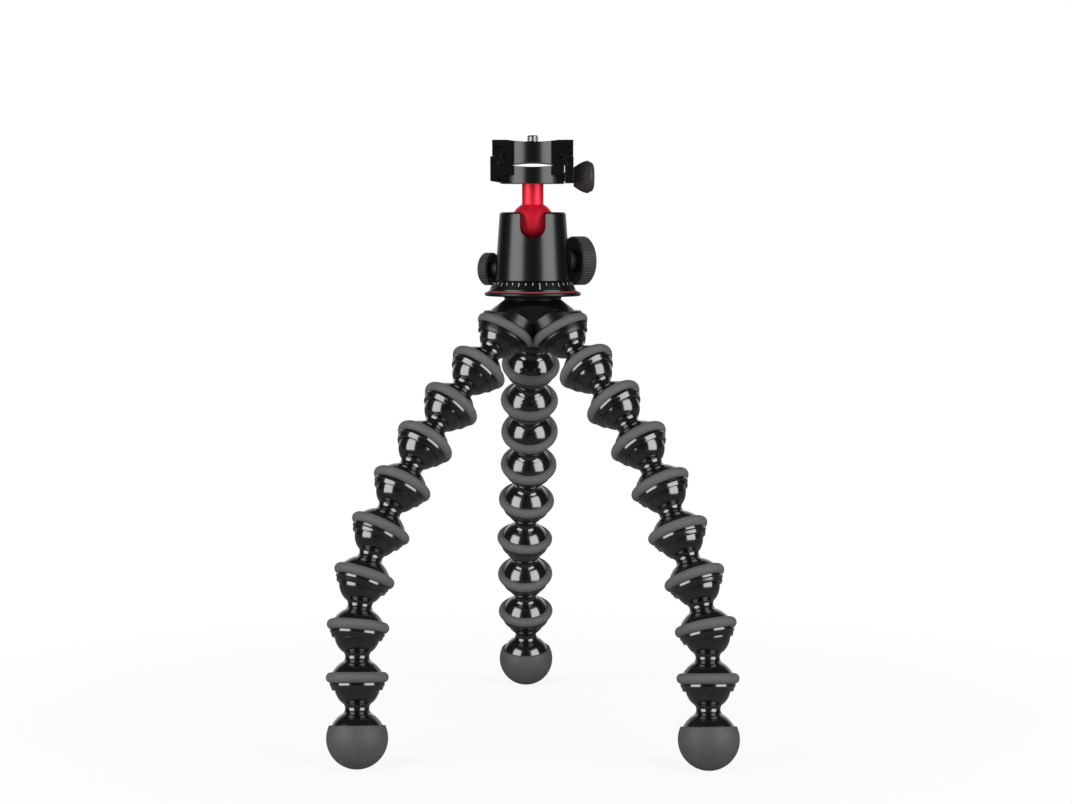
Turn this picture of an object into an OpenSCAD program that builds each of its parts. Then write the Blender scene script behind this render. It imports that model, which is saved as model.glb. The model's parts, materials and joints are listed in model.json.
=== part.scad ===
// Flexible leg tripod with a ball head and a quick-release plate.
// Three legs of snap-together ball links stand on rubber feet; the origin is on the ground
// under the hub's axis, +Z is up and the front of the head faces -Y.

/* [Leg links] */
// Distance between the ball joints of one link
link_pitch = 27; // [26:0.1:32]
// Ball diameter
ball_d = 24.2; // [20:0.1:25]
// Gap between a ball and its socket
ball_gap = 0.15; // [0.1:0.05:0.3]
// Wall of a socket round its ball
socket_wall = 2.55; // [2:0.05:3.5]
// Depth of the socket's lip past the middle of the ball
socket_lip = 2.6; // [2.2:0.1:3.5]
// Diameter of the neck under a ball
neck_d = 12.7; // [9:0.1:14]
// Diameter of the neck's hollow curve where it meets the ball and the next socket
neck_end_d = 16.4; // [15:0.1:18]

/* [Grip rings] */
// Thickness of a rubber grip ring along the link
ring_h = 5.6; // [4:0.1:6]
// Middle of the ring's round section, in from the socket wall's outside
ring_inset = 1; // [0.8:0.1:1.6]
// Height of a ring above the middle of its ball
ring_rise = 4.2; // [3.6:0.1:5]
// Depth of the ring's seat in the socket wall
ring_seat = 1.8; // [1:0.1:1.9]
// Gap between a ring and its seat
ring_gap = 0.05; // [0:0.05:0.2]

/* [Feet] */
// Diameter of the round rubber foot
foot_d = 32.6; // [31:0.2:40]
// Distance from a foot's ball joint to the middle of the foot
foot_reach = 27.6; // [27:0.1:36]
// Height of the foot's middle above the ground, where its underside is pressed flat
foot_flat = 15.8; // [15.3:0.1:16.2]
// Height of the foot's rim above its middle
foot_rim = 6.8; // [5:0.1:8]
// Height of the foot link's dome centre above the foot's middle
foot_dome_rise = 0.4; // [0.2:0.1:1.5]

/* [Hub] */
// Distance of the hub's socket centres from the hub's axis
socket_r = 19.9; // [19.5:0.1:24]
// Outward lean of the hub's sockets from vertical
socket_lean = 32; // [28:0.5:36]
// Radius of the barrel round a hub socket
barrel_r = 15.2; // [15:0.1:16]
// Height of a barrel's top edge above its ball's middle
barrel_h = 12.5; // [12.4:0.1:14]
// Diameter of the flange under the head
flange_d = 53.6; // [50:0.2:60]
// Thickness of the flange
flange_h = 2.2; // [2:0.1:4]
// Height of the flange's top above the hub's socket centres
flange_rise = 24.5; // [24:0.1:28]
// Diameter of the hub's neck
hub_neck_d = 31.4; // [28:0.2:34]
// Distance of the flat facets from the hub's axis
facet_r = 17.2; // [16.5:0.1:18.5]
// Diameter of the red friction pad
pad_d = 49.5; // [44:0.1:50]
// Thickness of the pad
pad_h = 1.8; // [1.2:0.1:2]
// Height of the pad above the flange
pad_proud = 0.6; // [0.4:0.1:1]
// Diameter of the standard camera thread
thread_d = 6.35; // [6.35:0.01:9.53]
// Height of the hub's screw above the pad
stud_h = 4.9; // [4:0.1:5.5]

/* [Head] */
// Diameter of the panning base at its foot
base_d = 47.7; // [46:0.1:54]
// Height of the panning base
base_h = 5.7; // [5:0.1:7]
// Height of the housing's top above the head's underside
housing_h = 43.6; // [42:0.1:50]
// Diameter of the housing at its foot
housing_foot_d = 41.9; // [41:0.1:46]
// Diameter of the housing at its top
housing_top_d = 36.9; // [35:0.1:40]
// Diameter of the head's ball
head_ball_d = 24.8; // [24:0.1:26]
// Height of the ball's middle above the head's underside
head_ball_z = 37; // [36.5:0.1:38]
// Diameter of the stem
stem_d = 12; // [10:0.1:13]
// Width of the drop notch
notch_w = 13.9; // [13.4:0.1:15]
// Gap round the head's ball and the panning spindle
head_gap = 0.15; // [0.1:0.05:0.3]

/* [Lock knobs] */
// Turn of both knob axes to the back
knob_turn = 29; // [20:1:40]
// Diameter of the ball lock knob
lock_knob_d = 27.3; // [24:0.1:30]
// Thickness of the ball lock knob's rim
lock_knob_h = 9; // [7:0.1:12]
// Height of the ball lock knob's axis above the head's underside
lock_knob_z = 16.4; // [16.3:0.1:16.8]
// Diameter of the ball lock stud
lock_stud_d = 6; // [5:0.1:6.2]
// Diameter of the pan lock knob
pan_knob_d = 18.3; // [16:0.1:21]
// Thickness of the pan lock knob's rim
pan_knob_h = 6.2; // [5:0.1:8]
// Distance between the ribs round the knobs
rib_pitch = 1.65; // [1.4:0.05:3]
// Height of the pan lock knob's axis above the head's underside
pan_knob_z = 11.8; // [11.7:0.1:12]
// Diameter of the pan lock stud
pan_stud_d = 4; // [3:0.1:4.2]
// Distance of the knobs' inner faces from the head's axis
knob_face_r = 24.7; // [24.5:0.1:28]
// Gap round the studs and pins
pin_gap = 0.06; // [0.05:0.01:0.1]

/* [Clamp] */
// Height of the clamp's underside above the head's underside
clamp_z = 59.2; // [58.5:0.1:66]
// Thickness of the clamp's body under the plate
clamp_h = 10.2; // [9:0.1:12]
// Height of the jaws above the clamp's floor
jaw_h = 4.7; // [4.4:0.1:4.9]
// Depth of the clamp and the plate from front to back
clamp_depth = 30; // [28:0.5:34]
// Diameter of the round boss in the middle of the clamp and the plate
boss_d = 36; // [34:0.5:44]
// Thickness of the clamp's upper slab, above its lower arms
slab_h = 5.6; // [5:0.1:7]
// Depth of the lower arms from front to back
arm_depth = 26; // [24:0.5:27]
// Left end of the clamp's body, from the stem's axis
clamp_left = 23.3; // [22.5:0.1:26]
// Right end of the clamp's body, from the stem's axis
clamp_right = 17.3; // [15:0.1:17.5]
// Thickness of the moving jaw
jaw_w = 4.5; // [4.3:0.1:6]
// Gap between the clamp's body and the closed moving jaw
jaw_gap = 0.6; // [0.3:0.1:1]
// Height of the clamp screw above the clamp's underside
clamp_screw_z = 3.8; // [3.6:0.1:5]
// Diameter of the clamp screw
clamp_screw_d = 5; // [4:0.1:5.5]
// Diameter of the clamp knob
clamp_knob_d = 18.1; // [15:0.1:22]
// Length of the clamp knob
clamp_knob_l = 11.3; // [10:0.1:14]

/* [Quick-release plate] */
// Width of the dovetail's foot
dovetail_w = 38; // [37.5:0.1:38.2]
// Height of the dovetail
dovetail_h = 5; // [4.9:0.1:6]
// Width of the plate
plate_w = 44.5; // [44:0.1:50]
// Thickness of the plate above its dovetail
plate_h = 8.6; // [7:0.1:10]
// Gap between the dovetail and the clamp
dovetail_gap = 0.1; // [0.05:0.05:0.2]
// Height of the camera screw above the plate's dish
camera_screw_h = 3.9; // [3.5:0.1:6]
// Depth of the dish in the middle of the plate's top
dish_h = 1.1; // [0.6:0.1:1.5]

/* [Hidden] */
$fn = 64;
far = 100;

// Leg names and the directions of their sockets
LEGS = ["left", "right", "back"];
socket_az = [210, 330, 90];
links = 8;

// Leans of the links from vertical, from the hub down; on the right and back legs the second
// link takes up what is left, so that all three feet stand on the ground
left_lean = [44, 45, 43.5, 35.5, 31.5, 24.5, 15.5, 11];
right_lean = levelled([46.5, 40.5, 33, 28.5, 27.5, 20, 10.5]);
back_lean = levelled([37, 44, 37.5, 31, 23, 30, 22.5]);
leg_lean = [left_lean, right_lean, back_lean];
foot_lean = 11;

// Directions in which the links lean, seen from above, from the hub down; a foot leans with the
// last link
left_way = [218, 219, 223.5, 223, 219, 226, 253, 272];
right_way = [316.5, 319.5, 317.5, 318, 312.5, 312, 303.5, 272];
back_way = [95, 92.5, 89.5, 92.5, 96, 95.5, 88.5, 88.5];
leg_way = [left_way, right_way, back_way];

function total(v, i = 0) = i < len(v) ? v[i] + total(v, i + 1) : 0;
function drop_of(leans) = total([for (a = leans) cos(a)]);
function levelled(leans) =
    concat(leans[0], acos(drop_of(left_lean) - drop_of(leans)), [for (i = [1:len(leans) - 1]) leans[i]]);

// Joint k of a leg: 1 is the hub's socket and 9 the foot's; link 9 is the foot link
function lean(leg, k) = k > links ? foot_lean : leg_lean[leg][k - 1];
function way(leg, k) = leg_way[leg][min(k, links) - 1];
function arc_r(half, sag) = (half * half + sag * sag) / (2 * sag);
function polar(r, az, z) = [r * cos(az), r * sin(az), z];
function socket_pos(leg) = polar(socket_r, socket_az[leg], socket_z);
function hang(leg, k) = link_pitch * polar(sin(lean(leg, k)), way(leg, k), -cos(lean(leg, k)));
function joint_pos(leg, k) = k == 1 ? socket_pos(leg) : joint_pos(leg, k - 1) + hang(leg, k - 1);

// Leg sizes
ball_r = ball_d / 2;
hollow_r = ball_r + ball_gap;
shell_r = hollow_r + socket_wall;
neck_r = neck_d / 2;
neck_end_r = neck_end_d / 2;
dome_top = sqrt(shell_r * shell_r - neck_end_r * neck_end_r);
ball_low = sqrt(ball_r * ball_r - neck_end_r * neck_end_r);
ring_tube = ring_h / 2;
ring_mid_r = shell_r - ring_inset;
ring_seat_r = shell_r - ring_seat;
collar_top = ring_rise - ring_tube;
collar_r = shell_r - 0.3;
collar_step = 0.5;
collar_taper = 1.2;
foot_r = foot_d / 2;
plug_depth = 4;
socket_z = link_pitch * drop_of(left_lean) + foot_reach * cos(foot_lean) + foot_flat;

// Hub sizes, measured up from the socket centres
hub_neck_r = hub_neck_d / 2;
flange_under = flange_rise - flange_h;
hub_neck_h = 2;
shoulder_r = 22.4;
shoulder_z = 15.2;
shoulder_lip = 0.6;
shoulder_lip_h = 0.8;
facet_tilt = 12;
core_low = 1.5;
core_low_r = 6.5;
core_mid = 7.5;
core_mid_r = 15.6;
pad_seat = pad_h - pad_proud;
thread_r = thread_d / 2;
stud_head_r = thread_r + 3;
stud_head_h = 3;
stud_below = 9;
fit = 0.05;
head_z = socket_z + flange_rise + pad_proud;

// Head sizes, measured up from the head's underside
pan_gap = 0.2;
web_h = 3.1;
web_top = base_h + pan_gap + web_h;
spindle_r = 9;
spindle_top = lock_knob_z - lock_stud_d / 2 - 0.2;
clip_h = 1;
clip_depth = 0.8;
clip_reach = 2;
clip_z = web_top + head_gap;
bush_r = 6;
bush_h = 7;
head_ball_r = head_ball_d / 2;
seat_r = head_ball_r + head_gap;
chamber_r = seat_r + 0.1;
cup_r = chamber_r - head_gap;
cup_z = lock_knob_z + lock_stud_d / 2 + 0.2;
cup_top = head_ball_z - head_ball_r * 0.6;
stem_r = stem_d / 2;
notch_r = notch_w / 2;
notch_z = head_ball_z - 1.1;
clamp_top = clamp_z + clamp_h;
floor_half = 13;
floor_dip = 1.1;
clamp_bolt_top = clamp_top - floor_dip;
clamp_bolt_r = 2.5;
clamp_bolt_head_r = 5;
clamp_bolt_head_h = 2.8;
clamp_bolt_l = 16;

// Clamp and plate sizes
jaw_x = clamp_right + jaw_gap;
plate_z = clamp_top + dovetail_gap;
plate_top = plate_z + dovetail_h + plate_h;
dovetail_slope = 2.1;
arm_rise = 1.6;
arm_foot = 14;
pocket_depth = 3;
arm_pocket = [[-clamp_left + 2.2, 3.6], [-arm_foot + 2, 0.9], [-clamp_left + 3.6, 1.9]];
dovetail_foot = 1.2;
guide_r = 1.5;
guide_x = clamp_right - 11;
guide_y = 10;
clamp_screw_x = clamp_bolt_r + 4;
arch_h = 1.1;
arch_half = 12;
dish_half = 14;
groove_depth = 3;
boss_ease = 0.07;
camera_head_r = 6.8;
camera_head_h = 2.6;
camera_shank_r = 2.4;
camera_thread_l = camera_screw_h - 0.2;
coin_slot_w = 1.6;
coin_slot_h = 1.2;

// Grooves in each end of the plate: place of the end, lower and upper edge there, and the tip
dovetail_neck = dovetail_w / 2 - dovetail_slope;
dovetail_v = dovetail_foot + dovetail_slope;
plate_grooves = [
    [dovetail_neck, dovetail_v, dovetail_h, [dovetail_w / 2 - 6, dovetail_v + 0.5]],
    [plate_w / 2, dovetail_h + 1.1, dovetail_h + 1.8, [plate_w / 2 - 4.2, dovetail_h + 1.3]],
    [plate_w / 2, dovetail_h + 3.7, dovetail_h + 5.5, [plate_w / 2 - 6, dovetail_h + 4.7]]];

// Right-hand half of a flat profile, ready to be turned
module right_half() {
    intersection() {
        children();
        translate([0, -far]) square([far, 2 * far]);
    }
}

// Round section of a grip ring, cut flat where it seats; the ball's middle is the origin
module ring_section(grow) {
    intersection() {
        translate([ring_mid_r, ring_rise]) circle(r = ring_tube + grow);
        translate([ring_seat_r + ring_gap - grow, -far]) square([far, 2 * far]);
    }
}

module grip_ring() {
    color("dimgray") rotate_extrude() ring_section(0);
}

// Stepped collar below the ring, down to the lip
module collar_section() {
    polygon([
        [0, collar_top + collar_step], [collar_r, collar_top + collar_step], [collar_r, 0],
        [collar_r - collar_step, -collar_step], [collar_r - collar_taper, -socket_lip], [0, -socket_lip]]);
}

// Dome and collar round a ball, before the ball's room is taken out
module socket_section() {
    intersection() {
        circle(r = shell_r);
        translate([-far, collar_top]) square([2 * far, far]);
    }
    collar_section();
}

// What a socket loses: the ball's room and the ring's seat
module socket_room() {
    circle(r = hollow_r);
    ring_section(ring_gap);
}

// Hollow-sided neck from a ball to a dome whose centre lies dome_at below the ball
module neck_section(dome_at) {
    low = dome_top - dome_at;
    half = (-ball_low - low) / 2;
    curve_r = arc_r(half, neck_end_r - neck_r);
    difference() {
        translate([0, low - 1]) square([neck_end_r, 2 * half + 2]);
        translate([neck_r + curve_r, low + half]) circle(r = curve_r);
    }
}

// Frame of link k: the ball's middle is the origin and the link hangs along -Z
module at_link(leg, k) {
    translate(joint_pos(leg, k)) rotate([0, 0, way(leg, k)]) rotate([0, -lean(leg, k), 0]) children();
}

module at_socket(leg) {
    translate(socket_pos(leg)) rotate([0, 0, socket_az[leg]]) rotate([0, -socket_lean, 0]) children();
}

// Leg link: moulded ball, neck and socket, with its rubber ring seated round the socket
module link(leg, k) {
    at_link(leg, k) {
        color("#1b1b1d") rotate_extrude() right_half() difference() {
            union() {
                circle(r = ball_r);
                neck_section(link_pitch);
                translate([0, -link_pitch]) socket_section();
            }
            translate([0, -link_pitch]) socket_room();
        }
        translate([0, 0, -link_pitch]) grip_ring();
    }
}

// Dome of the foot link, which plugs into the rubber foot
module foot_plug(grow) {
    intersection() {
        translate([0, foot_dome_rise - foot_reach]) circle(r = shell_r + grow);
        translate([-far, -foot_reach - plug_depth - grow]) square([2 * far, far]);
    }
}

module foot_link(leg) {
    color("#1b1b1d") at_link(leg, links + 1) rotate_extrude() right_half() {
        circle(r = ball_r);
        neck_section(foot_reach - foot_dome_rise);
        foot_plug(0);
    }
}

// Round rubber foot, pressed flat where it stands on the ground
module foot(leg) {
    color("#575757") intersection() {
        at_link(leg, links + 1) rotate_extrude() right_half() difference() {
            intersection() {
                translate([0, -foot_reach]) circle(r = foot_r);
                translate([-far, foot_rim - foot_reach - far]) square([2 * far, far]);
            }
            foot_plug(fit);
        }
        translate([-2 * far, -2 * far, 0]) cube(4 * far);
    }
}

// Flange with a round rim on the hub's waisted neck
module hub_flange() {
    rim_r = flange_h / 2;
    rotate_extrude() right_half() {
        translate([0, flange_under]) square([flange_d / 2 - rim_r, flange_h]);
        translate([flange_d / 2 - rim_r, flange_under + rim_r]) circle(r = rim_r);
        difference() {
            translate([0, flange_under - hub_neck_h]) square([hub_neck_r + hub_neck_h, hub_neck_h + rim_r]);
            translate([hub_neck_r + hub_neck_h, flange_under - hub_neck_h]) circle(r = hub_neck_h);
        }
    }
}

// Middle of the hub between the barrels, with a flat facet between each pair of legs
module hub_core() {
    difference() {
        rotate_extrude() polygon([
            [0, core_low], [core_low_r, core_low], [core_mid_r, core_mid], [shoulder_r, core_mid],
            [shoulder_r, flange_under], [0, flange_under]]);
        for (az = socket_az) rotate([0, 0, az + 60]) translate([facet_r, -far, core_mid])
            rotate([0, facet_tilt, 0]) translate([0, 0, -far]) cube([far, 2 * far, 2 * far]);
    }
}

// Everything outside the sloped shoulder round the neck
module hub_trim() {
    rotate_extrude() polygon([
        [hub_neck_r, flange_under - hub_neck_h], [shoulder_r, shoulder_z],
        [shoulder_r + shoulder_lip, shoulder_z - shoulder_lip_h], [far, shoulder_z - shoulder_lip_h],
        [far, flange_under], [hub_neck_r, flange_under]]);
}

module hub_barrel() {
    translate([0, 0, collar_top]) cylinder(r = barrel_r, h = barrel_h - collar_top);
    rotate_extrude() collar_section();
}

module hub_stud(grow) {
    translate([0, 0, head_z - stud_below - grow])
        cylinder(r = thread_r + grow, h = stud_below + stud_h + 2 * grow);
    translate([0, 0, head_z - stud_below - grow])
        cylinder(r = stud_head_r + grow, h = stud_head_h + 2 * grow, $fn = 6);
}

// One-piece hub: flange, neck, three sockets and the flat facets
module hub() {
    color("#1b1b1d") difference() {
        union() {
            translate([0, 0, socket_z]) hub_flange();
            difference() {
                union() {
                    translate([0, 0, socket_z]) hub_core();
                    for (leg = [0:2]) at_socket(leg) hub_barrel();
                }
                translate([0, 0, socket_z]) hub_trim();
            }
        }
        for (leg = [0:2]) at_socket(leg) rotate_extrude() right_half() socket_room();
        translate([0, 0, head_z - pad_h - fit]) cylinder(r = pad_d / 2 + fit, h = far);
        hub_stud(fit);
    }
}

module hub_rings() {
    for (leg = [0:2]) at_socket(leg) grip_ring();
}

module hub_pad() {
    color("#a53c3c") difference() {
        translate([0, 0, head_z - pad_h]) cylinder(r = pad_d / 2, h = pad_h);
        translate([0, 0, head_z - far / 2]) cylinder(r = thread_r + fit, h = far);
    }
}

module hub_screw() {
    color("silver") hub_stud(0);
}

// Fixed base of the head: flared ring with a spindle on which the housing turns
module pan_base() {
    color("#202022") translate([0, 0, head_z]) difference() {
        union() {
            rotate_extrude() polygon([
                [0, 0], [base_d / 2, 0], [base_d / 2, 0.9], [housing_foot_d / 2 + 0.6, base_h - 0.6],
                [housing_foot_d / 2, base_h], [0, base_h]]);
            cylinder(r = spindle_r, h = spindle_top);
        }
        translate([0, 0, clip_z - fit]) difference() {
            cylinder(r = spindle_r + 1, h = clip_h + 2 * fit);
            translate([0, 0, -1]) cylinder(r = spindle_r - clip_depth, h = clip_h + 3);
        }
        translate([0, 0, -fit]) cylinder(r = bush_r + fit, h = bush_h + fit);
    }
}

// Brass bush in the base with the standard camera thread
module base_bush() {
    color("#b59a57") translate([0, 0, head_z]) difference() {
        cylinder(r = bush_r, h = bush_h - fit);
        translate([0, 0, -1]) cylinder(r = thread_r + fit, h = bush_h + 2);
    }
}

// Spring clip that keeps the housing on the spindle
module pan_clip() {
    color("gray") translate([0, 0, head_z + clip_z]) difference() {
        cylinder(r = spindle_r + clip_reach, h = clip_h);
        translate([0, 0, -1]) cylinder(r = spindle_r - clip_depth + fit, h = clip_h + 2);
    }
}

// Frame of a lock knob: +Z is the knob's axis, pointing away from the head
module at_lock_knob() {
    translate([0, 0, head_z + lock_knob_z]) rotate([0, 0, knob_turn]) rotate([0, 90, 0]) children();
}

module at_pan_knob() {
    translate([0, 0, head_z + pan_knob_z]) rotate([0, 0, 180 - knob_turn]) rotate([0, 90, 0]) children();
}

// Turned housing round the ball, with the drop notch at the front
module housing() {
    edge = 1.6;
    foot_z = base_h + pan_gap;
    color("#202022") difference() {
        translate([0, 0, head_z]) rotate_extrude() right_half() difference() {
            union() {
                polygon([
                    [0, foot_z], [housing_foot_d / 2, foot_z], [housing_top_d / 2, housing_h - edge],
                    [0, housing_h - edge]]);
                translate([0, housing_h - edge]) square([housing_top_d / 2 - edge, edge]);
                translate([housing_top_d / 2 - edge, housing_h - edge]) circle(r = edge);
            }
            translate([0, head_ball_z]) circle(r = seat_r);
            translate([0, web_top]) square([chamber_r, head_ball_z - web_top]);
            square([spindle_r + head_gap, far / 2]);
        }
        translate([0, 0, head_z + notch_z]) {
            rotate([90, 0, 0]) cylinder(r = notch_r, h = far);
            translate([-notch_r, -far, 0]) cube([notch_w, far, far]);
        }
        at_lock_knob() cylinder(d = lock_stud_d + 2 * pin_gap, h = far);
        at_pan_knob() cylinder(d = pan_stud_d + 2 * pin_gap, h = far);
    }
}

// Red ball and stem, one turned piece
module ball_stem() {
    color("#c8142d") translate([0, 0, head_z]) difference() {
        union() {
            translate([0, 0, head_ball_z]) sphere(r = head_ball_r);
            translate([0, 0, head_ball_z]) cylinder(r = stem_r, h = clamp_z - head_ball_z);
        }
        translate([0, 0, clamp_bolt_top - clamp_bolt_l - fit]) cylinder(r = clamp_bolt_r + fit, h = far);
    }
}

// Cup under the ball, which the lock stud presses up
module pressure_cup() {
    color("ivory") translate([0, 0, head_z]) difference() {
        translate([0, 0, cup_z]) cylinder(r = cup_r, h = cup_top - cup_z);
        translate([0, 0, head_ball_z]) sphere(r = seat_r);
    }
}

// Turned lock knob with a dished inner face and a crowned cap; its inner face is at z = 0
module lock_knob_body(d, h) {
    edge = 1;
    crown = h * 0.18;
    neck = d * 0.22;
    rotate_extrude() polygon([
        [0, -knob_face_r + housing_foot_d / 2 + 0.3], [neck, -knob_face_r + housing_foot_d / 2 + 0.3],
        [neck, 0.9], [d * 0.38, 0.5], [d / 2 - edge, 0], [d / 2, edge], [d / 2, h - edge],
        [d / 2 - edge, h], [d * 0.3, h + crown * 0.7], [0, h + crown]]);
}

// Grooves that leave ribs round a knob's rim, along its axis from z = 0
module rib_grooves(d, h) {
    count = floor(PI * d / rib_pitch);
    for (i = [1:count]) rotate([0, 0, i * 360 / count]) translate([d / 2 + rib_pitch / 10, 0, -1])
        cylinder(r = rib_pitch / 3, h = h + 2);
}

module lock_knob() {
    color("#262626") at_lock_knob() difference() {
        translate([0, 0, knob_face_r]) lock_knob_body(lock_knob_d, lock_knob_h);
        translate([0, 0, knob_face_r]) rib_grooves(lock_knob_d, lock_knob_h);
        cylinder(d = lock_stud_d + 2 * fit, h = knob_face_r + lock_knob_h / 2 + fit);
    }
}

// Stud of the ball lock: its cone wedges the cup up against the ball
module lock_stud() {
    tip = 4;
    color("silver") at_lock_knob() {
        cylinder(d = lock_stud_d, h = knob_face_r + lock_knob_h / 2);
        translate([0, 0, -tip]) cylinder(d1 = lock_stud_d / 3, d2 = lock_stud_d, h = tip);
    }
}

module pan_knob() {
    color("#262626") at_pan_knob() difference() {
        translate([0, 0, knob_face_r]) lock_knob_body(pan_knob_d, pan_knob_h);
        translate([0, 0, knob_face_r]) rib_grooves(pan_knob_d, pan_knob_h);
        cylinder(d = pan_stud_d + 2 * fit, h = knob_face_r + pan_knob_h / 2 + fit);
    }
}

// Stud of the pan lock: its thin tip presses on the spindle above the clip
module pan_stud() {
    tip_end = spindle_r + clip_reach + 0.6;
    color("silver") at_pan_knob() {
        translate([0, 0, tip_end]) cylinder(d = pan_stud_d, h = knob_face_r + pan_knob_h / 2 - tip_end);
        translate([0, 0, spindle_r + head_gap])
            cylinder(d = pan_stud_d * 0.7, h = tip_end - spindle_r - head_gap);
    }
}

// Plan of the clamp and the plate between two ends, with the round boss in the middle
module clamp_plan(left, right) {
    translate([-left, -clamp_depth / 2]) square([left + right, clamp_depth]);
    circle(d = boss_d);
    for (x = [-1, 1]) for (y = [-1, 1]) eased_corner(x, y);
}

// Narrow flat that eases the corner where the boss leaves a straight side; x and y pick the corner
module eased_corner(x, y) {
    corner = [sqrt(boss_d * boss_d - clamp_depth * clamp_depth) / 2, clamp_depth / 2];
    turn = atan2(corner.x, corner.y) / 2;
    out = [sin(turn), cos(turn)];
    along = [cos(turn), -sin(turn)];
    ends = [corner + boss_ease * out + x * y * along / 2, corner + boss_ease * out - x * y * along / 2];
    polygon([for (p = concat(ends, [corner - out])) [x * p.x, y * p.y]]);
}

// Cross-section of the room between the jaws, open upwards, seen from the front
module dovetail_room(grow) {
    half = dovetail_w / 2 + grow;
    foot = dovetail_foot + grow;
    polygon([
        [-half, 0], [half, 0], [half, foot], [half - dovetail_slope, foot + dovetail_slope],
        [half - dovetail_slope, far], [-half + dovetail_slope, far],
        [-half + dovetail_slope, foot + dovetail_slope], [-half, foot]]);
}

// Extrudes a front cross-section from front to back through the clamp
module through_depth() {
    rotate([90, 0, 0]) translate([0, 0, -far / 2]) linear_extrude(far) children();
}

// Cuts a shallow round dip, from front to back, below height z
module dip(half, sag, z) {
    r = arc_r(half, sag);
    translate([0, 0, z - sag + r]) rotate([90, 0, 0])
        cylinder(r = r, h = far, center = true, $fn = 360);
}

// Triangular recesses in the front and back of the left lower arm
module arm_pockets() {
    for (side = [-1, 1]) translate([0, side * arm_depth / 2, clamp_z]) rotate([90, 0, 0])
        linear_extrude(2 * pocket_depth, center = true)
            polygon(arm_pocket);
}

// Clamp body: floor with the fixed left jaw, on slimmer lower arms and the round boss
module clamp_body() {
    color("#1d1d1f") translate([0, 0, head_z]) difference() {
        union() {
            translate([0, 0, clamp_top - slab_h]) linear_extrude(slab_h)
                clamp_plan(clamp_left, clamp_right);
            translate([-clamp_left, -clamp_depth / 2, clamp_top - 1])
                cube([clamp_left / 2, clamp_depth, jaw_h + 1]);
            translate([0, 0, clamp_z]) linear_extrude(clamp_h) circle(d = boss_d);
            rotate([90, 0, 0]) linear_extrude(arm_depth, center = true) polygon([
                [-clamp_left, clamp_z + arm_rise], [-arm_foot, clamp_z], [clamp_right - 1, clamp_z],
                [clamp_right, clamp_z + 1], [clamp_right, clamp_top - 1], [-clamp_left, clamp_top - 1]]);
        }
        translate([clamp_right, -far, clamp_z - 1]) cube([far, 2 * far, far]);
        translate([0, 0, clamp_top]) through_depth() dovetail_room(dovetail_gap);
        dip(floor_half, floor_dip, clamp_top);
        arm_pockets();
        translate([0, 0, clamp_z - 1]) cylinder(r = clamp_bolt_r + fit, h = far);
        translate([0, 0, clamp_bolt_top - clamp_bolt_head_h - fit])
            cylinder(r = clamp_bolt_head_r + fit, h = far);
        translate([clamp_screw_x - 2, 0, clamp_z + clamp_screw_z]) rotate([0, 90, 0])
            cylinder(d = clamp_screw_d + 2 * pin_gap, h = far);
        for (y = [-guide_y, guide_y]) translate([guide_x - fit, y, clamp_z + clamp_screw_z])
            rotate([0, 90, 0]) cylinder(r = guide_r + fit, h = far);
    }
}

// Countersunk bolt that holds the clamp on the stem
module clamp_bolt() {
    color("gray") translate([0, 0, head_z + clamp_bolt_top - clamp_bolt_l]) difference() {
        union() {
            cylinder(r = clamp_bolt_r, h = clamp_bolt_l);
            translate([0, 0, clamp_bolt_l - clamp_bolt_head_h])
                cylinder(r = clamp_bolt_head_r, h = clamp_bolt_head_h);
        }
        translate([0, 0, clamp_bolt_l - 1.8]) cylinder(r = clamp_bolt_r * 0.8, h = far, $fn = 6);
    }
}

// Two steel pins that keep the moving jaw square
module guide_pins() {
    color("silver") for (y = [-guide_y, guide_y])
        translate([guide_x, y, head_z + clamp_z + clamp_screw_z])
            rotate([0, 90, 0]) cylinder(r = guide_r, h = jaw_x + jaw_w - 1 - guide_x);
}

// Moving jaw on the right of the clamp
module clamp_jaw() {
    color("#1d1d1f") translate([0, 0, head_z]) difference() {
        translate([0, 0, clamp_z + 0.4]) linear_extrude(clamp_h + jaw_h - 0.4)
            translate([clamp_right - 1, -clamp_depth / 2]) square([jaw_w + jaw_gap + 1, clamp_depth]);
        translate([0, 0, clamp_top]) through_depth() dovetail_room(dovetail_gap);
        translate([jaw_x - far, -far / 2, clamp_z - 1]) cube([far, far, clamp_h + 1 + dovetail_foot]);
        translate([0, 0, clamp_z + clamp_screw_z]) rotate([0, 90, 0])
            cylinder(d = clamp_screw_d + 2 * pin_gap, h = far);
        for (y = [-guide_y, guide_y]) translate([0, y, clamp_z + clamp_screw_z]) rotate([0, 90, 0])
            cylinder(r = guide_r + pin_gap, h = far);
    }
}

// Frame of the clamp screw: +Z points right, z = 0 is the moving jaw's outer face
module at_clamp_knob() {
    translate([jaw_x + jaw_w, 0, head_z + clamp_z + clamp_screw_z]) rotate([0, 90, 0]) children();
}

// Knob that widens from the jaw to its ribbed rim and crowned cap
module clamp_knob() {
    grip = clamp_knob_l * 0.72;
    cap = clamp_knob_l * 0.9;
    knob_r = clamp_knob_d / 2;
    root_r = clamp_knob_d * 0.29;
    crown_r = clamp_knob_d * 0.28;
    color("#262626") at_clamp_knob() difference() {
        rotate_extrude() polygon([
            [0, 0.2], [root_r, 0.2], [knob_r - 0.4, grip], [knob_r, grip + 0.6], [knob_r, cap],
            [knob_r - 0.8, cap + 0.3], [crown_r, clamp_knob_l], [0, clamp_knob_l + 0.3]]);
        rib_grooves(clamp_knob_d, cap - 1);
        translate([0, 0, -1]) cylinder(d = clamp_screw_d + 2 * fit, h = clamp_knob_l * 0.6 + 1 + fit);
    }
}

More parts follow.
